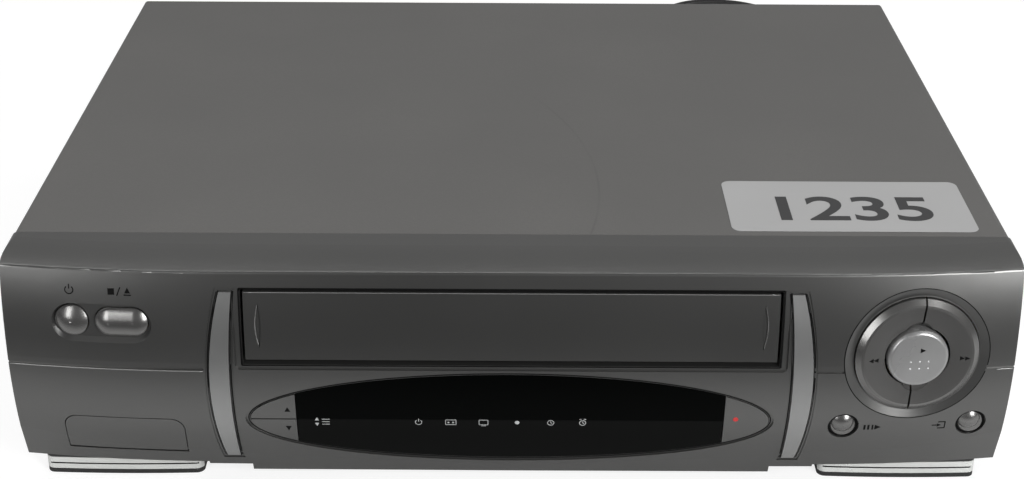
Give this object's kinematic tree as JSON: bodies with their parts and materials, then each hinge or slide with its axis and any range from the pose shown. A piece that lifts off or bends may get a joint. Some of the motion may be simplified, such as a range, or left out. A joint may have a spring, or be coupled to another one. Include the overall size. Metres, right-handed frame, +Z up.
{
  "type": "video cassette recorder",
  "caption": "Front-loading VHS video cassette recorder with a curved dark front, cassette door, oval display window, round key dial and socket flap.",
  "frame": {"origin": "middle of the footprint, on the surface it stands on", "axes": "+X to the right seen from the front, +Y towards the back, +Z up; the front faces -Y"},
  "size_m": [0.3636, 0.5287, 0.0941],
  "materials": {
    "cover_paint": "matt textured",
    "front_plastic": "satin",
    "silver_plastic": "metallic lacquer",
    "key_plastic": "satin",
    "window_plastic": "polished",
    "zinc_steel": "zinc plated",
    "bright_trim": "polished",
    "rubber": "matt",
    "circuit_board": "bare laminate",
    "aluminium": "turned",
    "white_plastic": "moulded",
    "socket_black": "moulded",
    "lead_plastic": "soft",
    "laminated_iron": "varnished",
    "display_glass": "polished",
    "spring_steel": "drawn"
  },
  "bodies": {
    "casing": {"audio_control_head": "zinc_steel", "bottom_plate": "zinc_steel", "capstan_belt": "rubber", "carriage_frame": "zinc_steel", "cover_screws": "spring_steel", "deck_chassis": "zinc_steel", "display_tube": "display_glass", "display_window": "window_plastic", "erase_head": "zinc_steel", "foot_trims": "bright_trim", "front_left_foot": "key_plastic", "front_panel": "front_plastic", "front_right_foot": "key_plastic", "front_sockets": "socket_black", "key_board": "circuit_board", "lead_sleeve": "lead_plastic", "left_trim_strip": "silver_plastic", "loading_motor": "zinc_steel", "lower_drum": "aluminium", "main_board": "circuit_board", "mains_lead": "lead_plastic", "mains_lead_coil": "lead_plastic", "mains_plug": "lead_plastic", "power_board": "circuit_board", "rear_feet": "rubber", "rear_jacks": "socket_black", "rear_panel": "zinc_steel", "right_trim_strip": "silver_plastic", "scart_sockets": "socket_black", "top_cover": "cover_paint", "transformer": "laminated_iron", "tuner_module": "zinc_steel"},
    "door": {"cassette_door": "front_plastic", "door_spring": "spring_steel"},
    "socket_flap": {"av_flap": "front_plastic"},
    "power_button": {"power_button": "key_plastic"},
    "stop_eject_button": {"stop_eject_button": "key_plastic"},
    "rewind_button": {"rewind_button": "key_plastic"},
    "fast_forward_button": {"fast_forward_button": "key_plastic"},
    "play_button": {"play_button": "silver_plastic"},
    "pause_button": {"pause_button": "key_plastic"},
    "input_select_button": {"input_select_button": "key_plastic"},
    "channel_up_button": {"channel_up_button": "key_plastic"},
    "channel_down_button": {"channel_down_button": "key_plastic"},
    "record_button": {"record_button": "key_plastic"},
    "tray": {"cassette_tray": "zinc_steel"},
    "carriage": {"slide_racks": "white_plastic"},
    "carriage_pinion": {"carriage_pinion": "white_plastic"},
    "upper_drum": {"upper_drum": "aluminium"},
    "capstan": {"capstan": "spring_steel"},
    "pinch_arm": {"pinch_arm": "zinc_steel"},
    "pinch_roller": {"pinch_roller": "rubber"},
    "supply_reel": {"supply_reel": "white_plastic"},
    "take_up_reel": {"take_up_reel": "white_plastic"},
    "idler_arm": {"idler_arm": "zinc_steel"},
    "idler_wheel": {"idler_wheel": "rubber"},
    "drive_pulley": {"drive_pulley": "white_plastic"},
    "supply_guide_post": {"supply_guide_post": "aluminium"},
    "take_up_guide_post": {"take_up_guide_post": "aluminium"},
    "cam_gear": {"cam_gear": "white_plastic"}
  },
  "joints": [
    {"name": "door_hinge", "type": "hinge", "parent": "casing", "child": "door", "pos_m": [0, -0.13841, 0.086], "axis": [-1, 0, 0], "range_deg": [-100, 0], "stiffness_Nm_per_rad": 0.02, "springref_deg": 11.46},
    {"name": "flap_hinge", "type": "hinge", "parent": "casing", "child": "socket_flap", "pos_m": [-0.141, -0.13642, 0.0168], "axis": [0.9972, -0.0754, 0], "range_deg": [0, 85]},
    {"name": "power_press", "type": "slide", "parent": "casing", "child": "power_button", "axis": [0, 1, 0], "range_m": [0, 0.001], "stiffness_N_per_m": 800, "springref_m": -0.001},
    {"name": "stop_eject_press", "type": "slide", "parent": "casing", "child": "stop_eject_button", "axis": [0, 1, 0], "range_m": [0, 0.001], "stiffness_N_per_m": 800, "springref_m": -0.001},
    {"name": "rewind_press", "type": "slide", "parent": "casing", "child": "rewind_button", "axis": [0, 1, 0], "range_m": [0, 0.001], "stiffness_N_per_m": 800, "springref_m": -0.001},
    {"name": "fast_forward_press", "type": "slide", "parent": "casing", "child": "fast_forward_button", "axis": [0, 1, 0], "range_m": [0, 0.001], "stiffness_N_per_m": 800, "springref_m": -0.001},
    {"name": "play_press", "type": "slide", "parent": "casing", "child": "play_button", "axis": [0, 1, 0], "range_m": [0, 0.001], "stiffness_N_per_m": 800, "springref_m": -0.001},
    {"name": "pause_press", "type": "slide", "parent": "casing", "child": "pause_button", "axis": [0, 1, 0], "range_m": [0, 0.001], "stiffness_N_per_m": 800, "springref_m": -0.001},
    {"name": "input_select_press", "type": "slide", "parent": "casing", "child": "input_select_button", "axis": [0, 1, 0], "range_m": [0, 0.001], "stiffness_N_per_m": 800, "springref_m": -0.001},
    {"name": "channel_up_press", "type": "slide", "parent": "casing", "child": "channel_up_button", "axis": [0, 1, 0], "range_m": [0, 0.001], "stiffness_N_per_m": 800, "springref_m": -0.001},
    {"name": "channel_down_press", "type": "slide", "parent": "casing", "child": "channel_down_button", "axis": [0, 1, 0], "range_m": [0, 0.001], "stiffness_N_per_m": 800, "springref_m": -0.001},
    {"name": "record_press", "type": "slide", "parent": "casing", "child": "record_button", "axis": [0, 1, 0], "range_m": [0, 0.001], "stiffness_N_per_m": 800, "springref_m": -0.001},
    {"name": "carriage_travel", "type": "slide", "parent": "casing", "child": "carriage", "axis": [0, 1, 0], "range_m": [0, 0.066]},
    {"name": "tray_drop", "type": "slide", "parent": "carriage", "child": "tray", "axis": [0, 0, -1], "range_m": [0, 0.022]},
    {"name": "pinion_spin", "type": "hinge", "parent": "casing", "child": "carriage_pinion", "pos_m": [0.0965, -0.047, 0.037], "axis": [-1, 0, 0], "range_deg": [0, 380]},
    {"name": "drum_spin", "type": "hinge", "parent": "casing", "child": "upper_drum", "pos_m": [0, 0.038, 0.029], "axis": [0.104, 0, 0.9946], "continuous": true},
    {"name": "capstan_spin", "type": "hinge", "parent": "casing", "child": "capstan", "pos_m": [0.066, 0.008, 0.034], "axis": [0, 0, 1], "continuous": true},
    {"name": "pinch_swing", "type": "hinge", "parent": "casing", "child": "pinch_arm", "pos_m": [0.09, 0.026, 0.034], "axis": [0, 0, 1], "range_deg": [-30, 0]},
    {"name": "pinch_roller_spin", "type": "hinge", "parent": "pinch_arm", "child": "pinch_roller", "pos_m": [0.08167, 0.0065, 0.045], "axis": [0, 0, 1], "continuous": true},
    {"name": "supply_reel_spin", "type": "hinge", "parent": "casing", "child": "supply_reel", "pos_m": [-0.046, -0.059, 0.035], "axis": [0, 0, 1], "continuous": true},
    {"name": "take_up_reel_spin", "type": "hinge", "parent": "casing", "child": "take_up_reel", "pos_m": [0.046, -0.059, 0.035], "axis": [0, 0, 1], "continuous": true},
    {"name": "idler_swing", "type": "hinge", "parent": "casing", "child": "idler_arm", "pos_m": [0, -0.084, 0.026], "axis": [0, 0, 1], "range_deg": [-36, 36]},
    {"name": "idler_wheel_spin", "type": "hinge", "parent": "idler_arm", "child": "idler_wheel", "pos_m": [0, -0.059, 0.0295], "axis": [0, 0, 1], "continuous": true},
    {"name": "drive_pulley_spin", "type": "hinge", "parent": "casing", "child": "drive_pulley", "pos_m": [0, -0.084, 0.02], "axis": [0, 0, 1], "continuous": true},
    {"name": "supply_guide_sweep", "type": "hinge", "parent": "casing", "child": "supply_guide_post", "pos_m": [0.011, 0.025, 0.03], "axis": [0, 0, -1], "range_deg": [0, 79]},
    {"name": "take_up_guide_sweep", "type": "hinge", "parent": "casing", "child": "take_up_guide_post", "pos_m": [-0.011, 0.025, 0.03], "axis": [0, 0, 1], "range_deg": [0, 79]},
    {"name": "cam_spin", "type": "hinge", "parent": "casing", "child": "cam_gear", "pos_m": [-0.066, 0.082, 0.029], "axis": [0, 0, 1], "continuous": true}
  ],
  "couplings": [
    {"joint": "pinion_spin", "follows": "carriage_travel", "rad_per_m": 100},
    {"joint": "take_up_guide_sweep", "follows": "supply_guide_sweep", "ratio": 1},
    {"joint": "drive_pulley_spin", "follows": "capstan_spin", "ratio": 0.46667}
  ]
}
